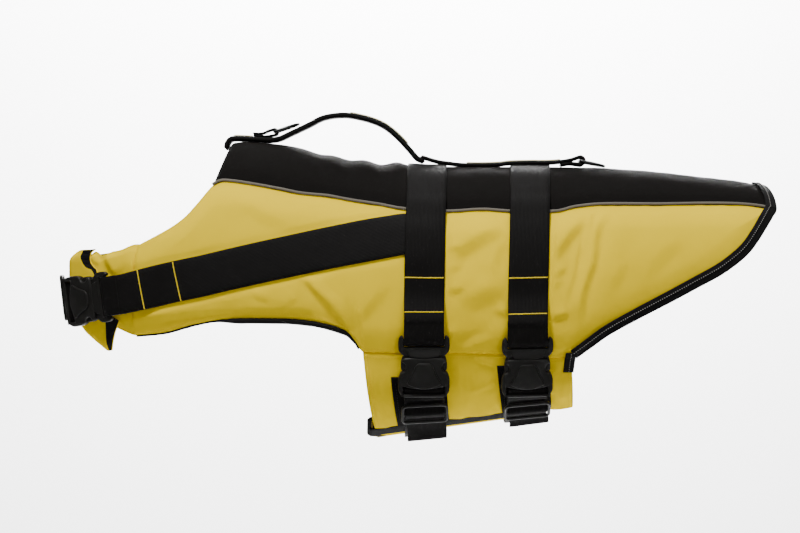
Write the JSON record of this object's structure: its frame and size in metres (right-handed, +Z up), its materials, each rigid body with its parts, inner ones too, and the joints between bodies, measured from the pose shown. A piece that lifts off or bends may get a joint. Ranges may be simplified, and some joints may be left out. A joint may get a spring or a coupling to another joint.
{
  "type": "dog life jacket",
  "caption": "Worn-shape dog life jacket: foam back and side panels, belly flaps, girth and chest straps with side-release buckles, lifting handle and leash rings.",
  "frame": {"origin": "inner face of the back panel over the spine, midway between the two girth straps", "axes": "+X towards the tail, -Y the wearer's left side, +Z up"},
  "size_m": [0.7082, 0.2429, 0.326],
  "materials": {
    "yellow_cloth": "yellow woven nylon over foam",
    "black_cloth": "black woven nylon",
    "webbing": "black ribbed nylon webbing",
    "reflective_piping": "grey reflective piping",
    "buckle_plastic": "black moulded acetal",
    "ring_metal": "dark coated metal"
  },
  "bodies": {
    "root": {"back_panel": "black_cloth", "side_panel_left": "yellow_cloth", "side_panel_right": "yellow_cloth", "seam_piping_left": "reflective_piping", "seam_piping_right": "reflective_piping", "leg_piping_left": "black_cloth", "leg_piping_right": "black_cloth", "binding_tail_left": "webbing", "binding_tail_right": "webbing", "belly_flap_left": "yellow_cloth", "belly_flap_right": "yellow_cloth", "chest_flap_left": "yellow_cloth", "chest_flap_right": "yellow_cloth", "rear_binding": "webbing", "buckle_pad_front": "black_cloth", "buckle_pad_rear": "black_cloth", "loop_patch": "black_cloth", "girth_front_upper": "webbing", "girth_front_lower": "webbing", "girth_rear_upper": "webbing", "girth_rear_lower": "webbing", "chest_strap_left": "webbing", "chest_strap_right": "webbing", "buckle_plug_front": "buckle_plastic", "buckle_socket_front": "buckle_plastic", "slider_front": "buckle_plastic", "buckle_plug_rear": "buckle_plastic", "buckle_socket_rear": "buckle_plastic", "slider_rear": "buckle_plastic", "buckle_plug_chest": "buckle_plastic", "buckle_socket_chest": "buckle_plastic", "slider_chest": "buckle_plastic", "handle_front": "webbing", "handle_rear": "webbing", "handle_tape_front": "yellow_cloth", "handle_tape_arch": "yellow_cloth", "handle_tape_rear": "yellow_cloth", "ring_rear": "ring_metal", "ring_front": "ring_metal", "ring_tab": "webbing"}
  },
  "joints": []
}
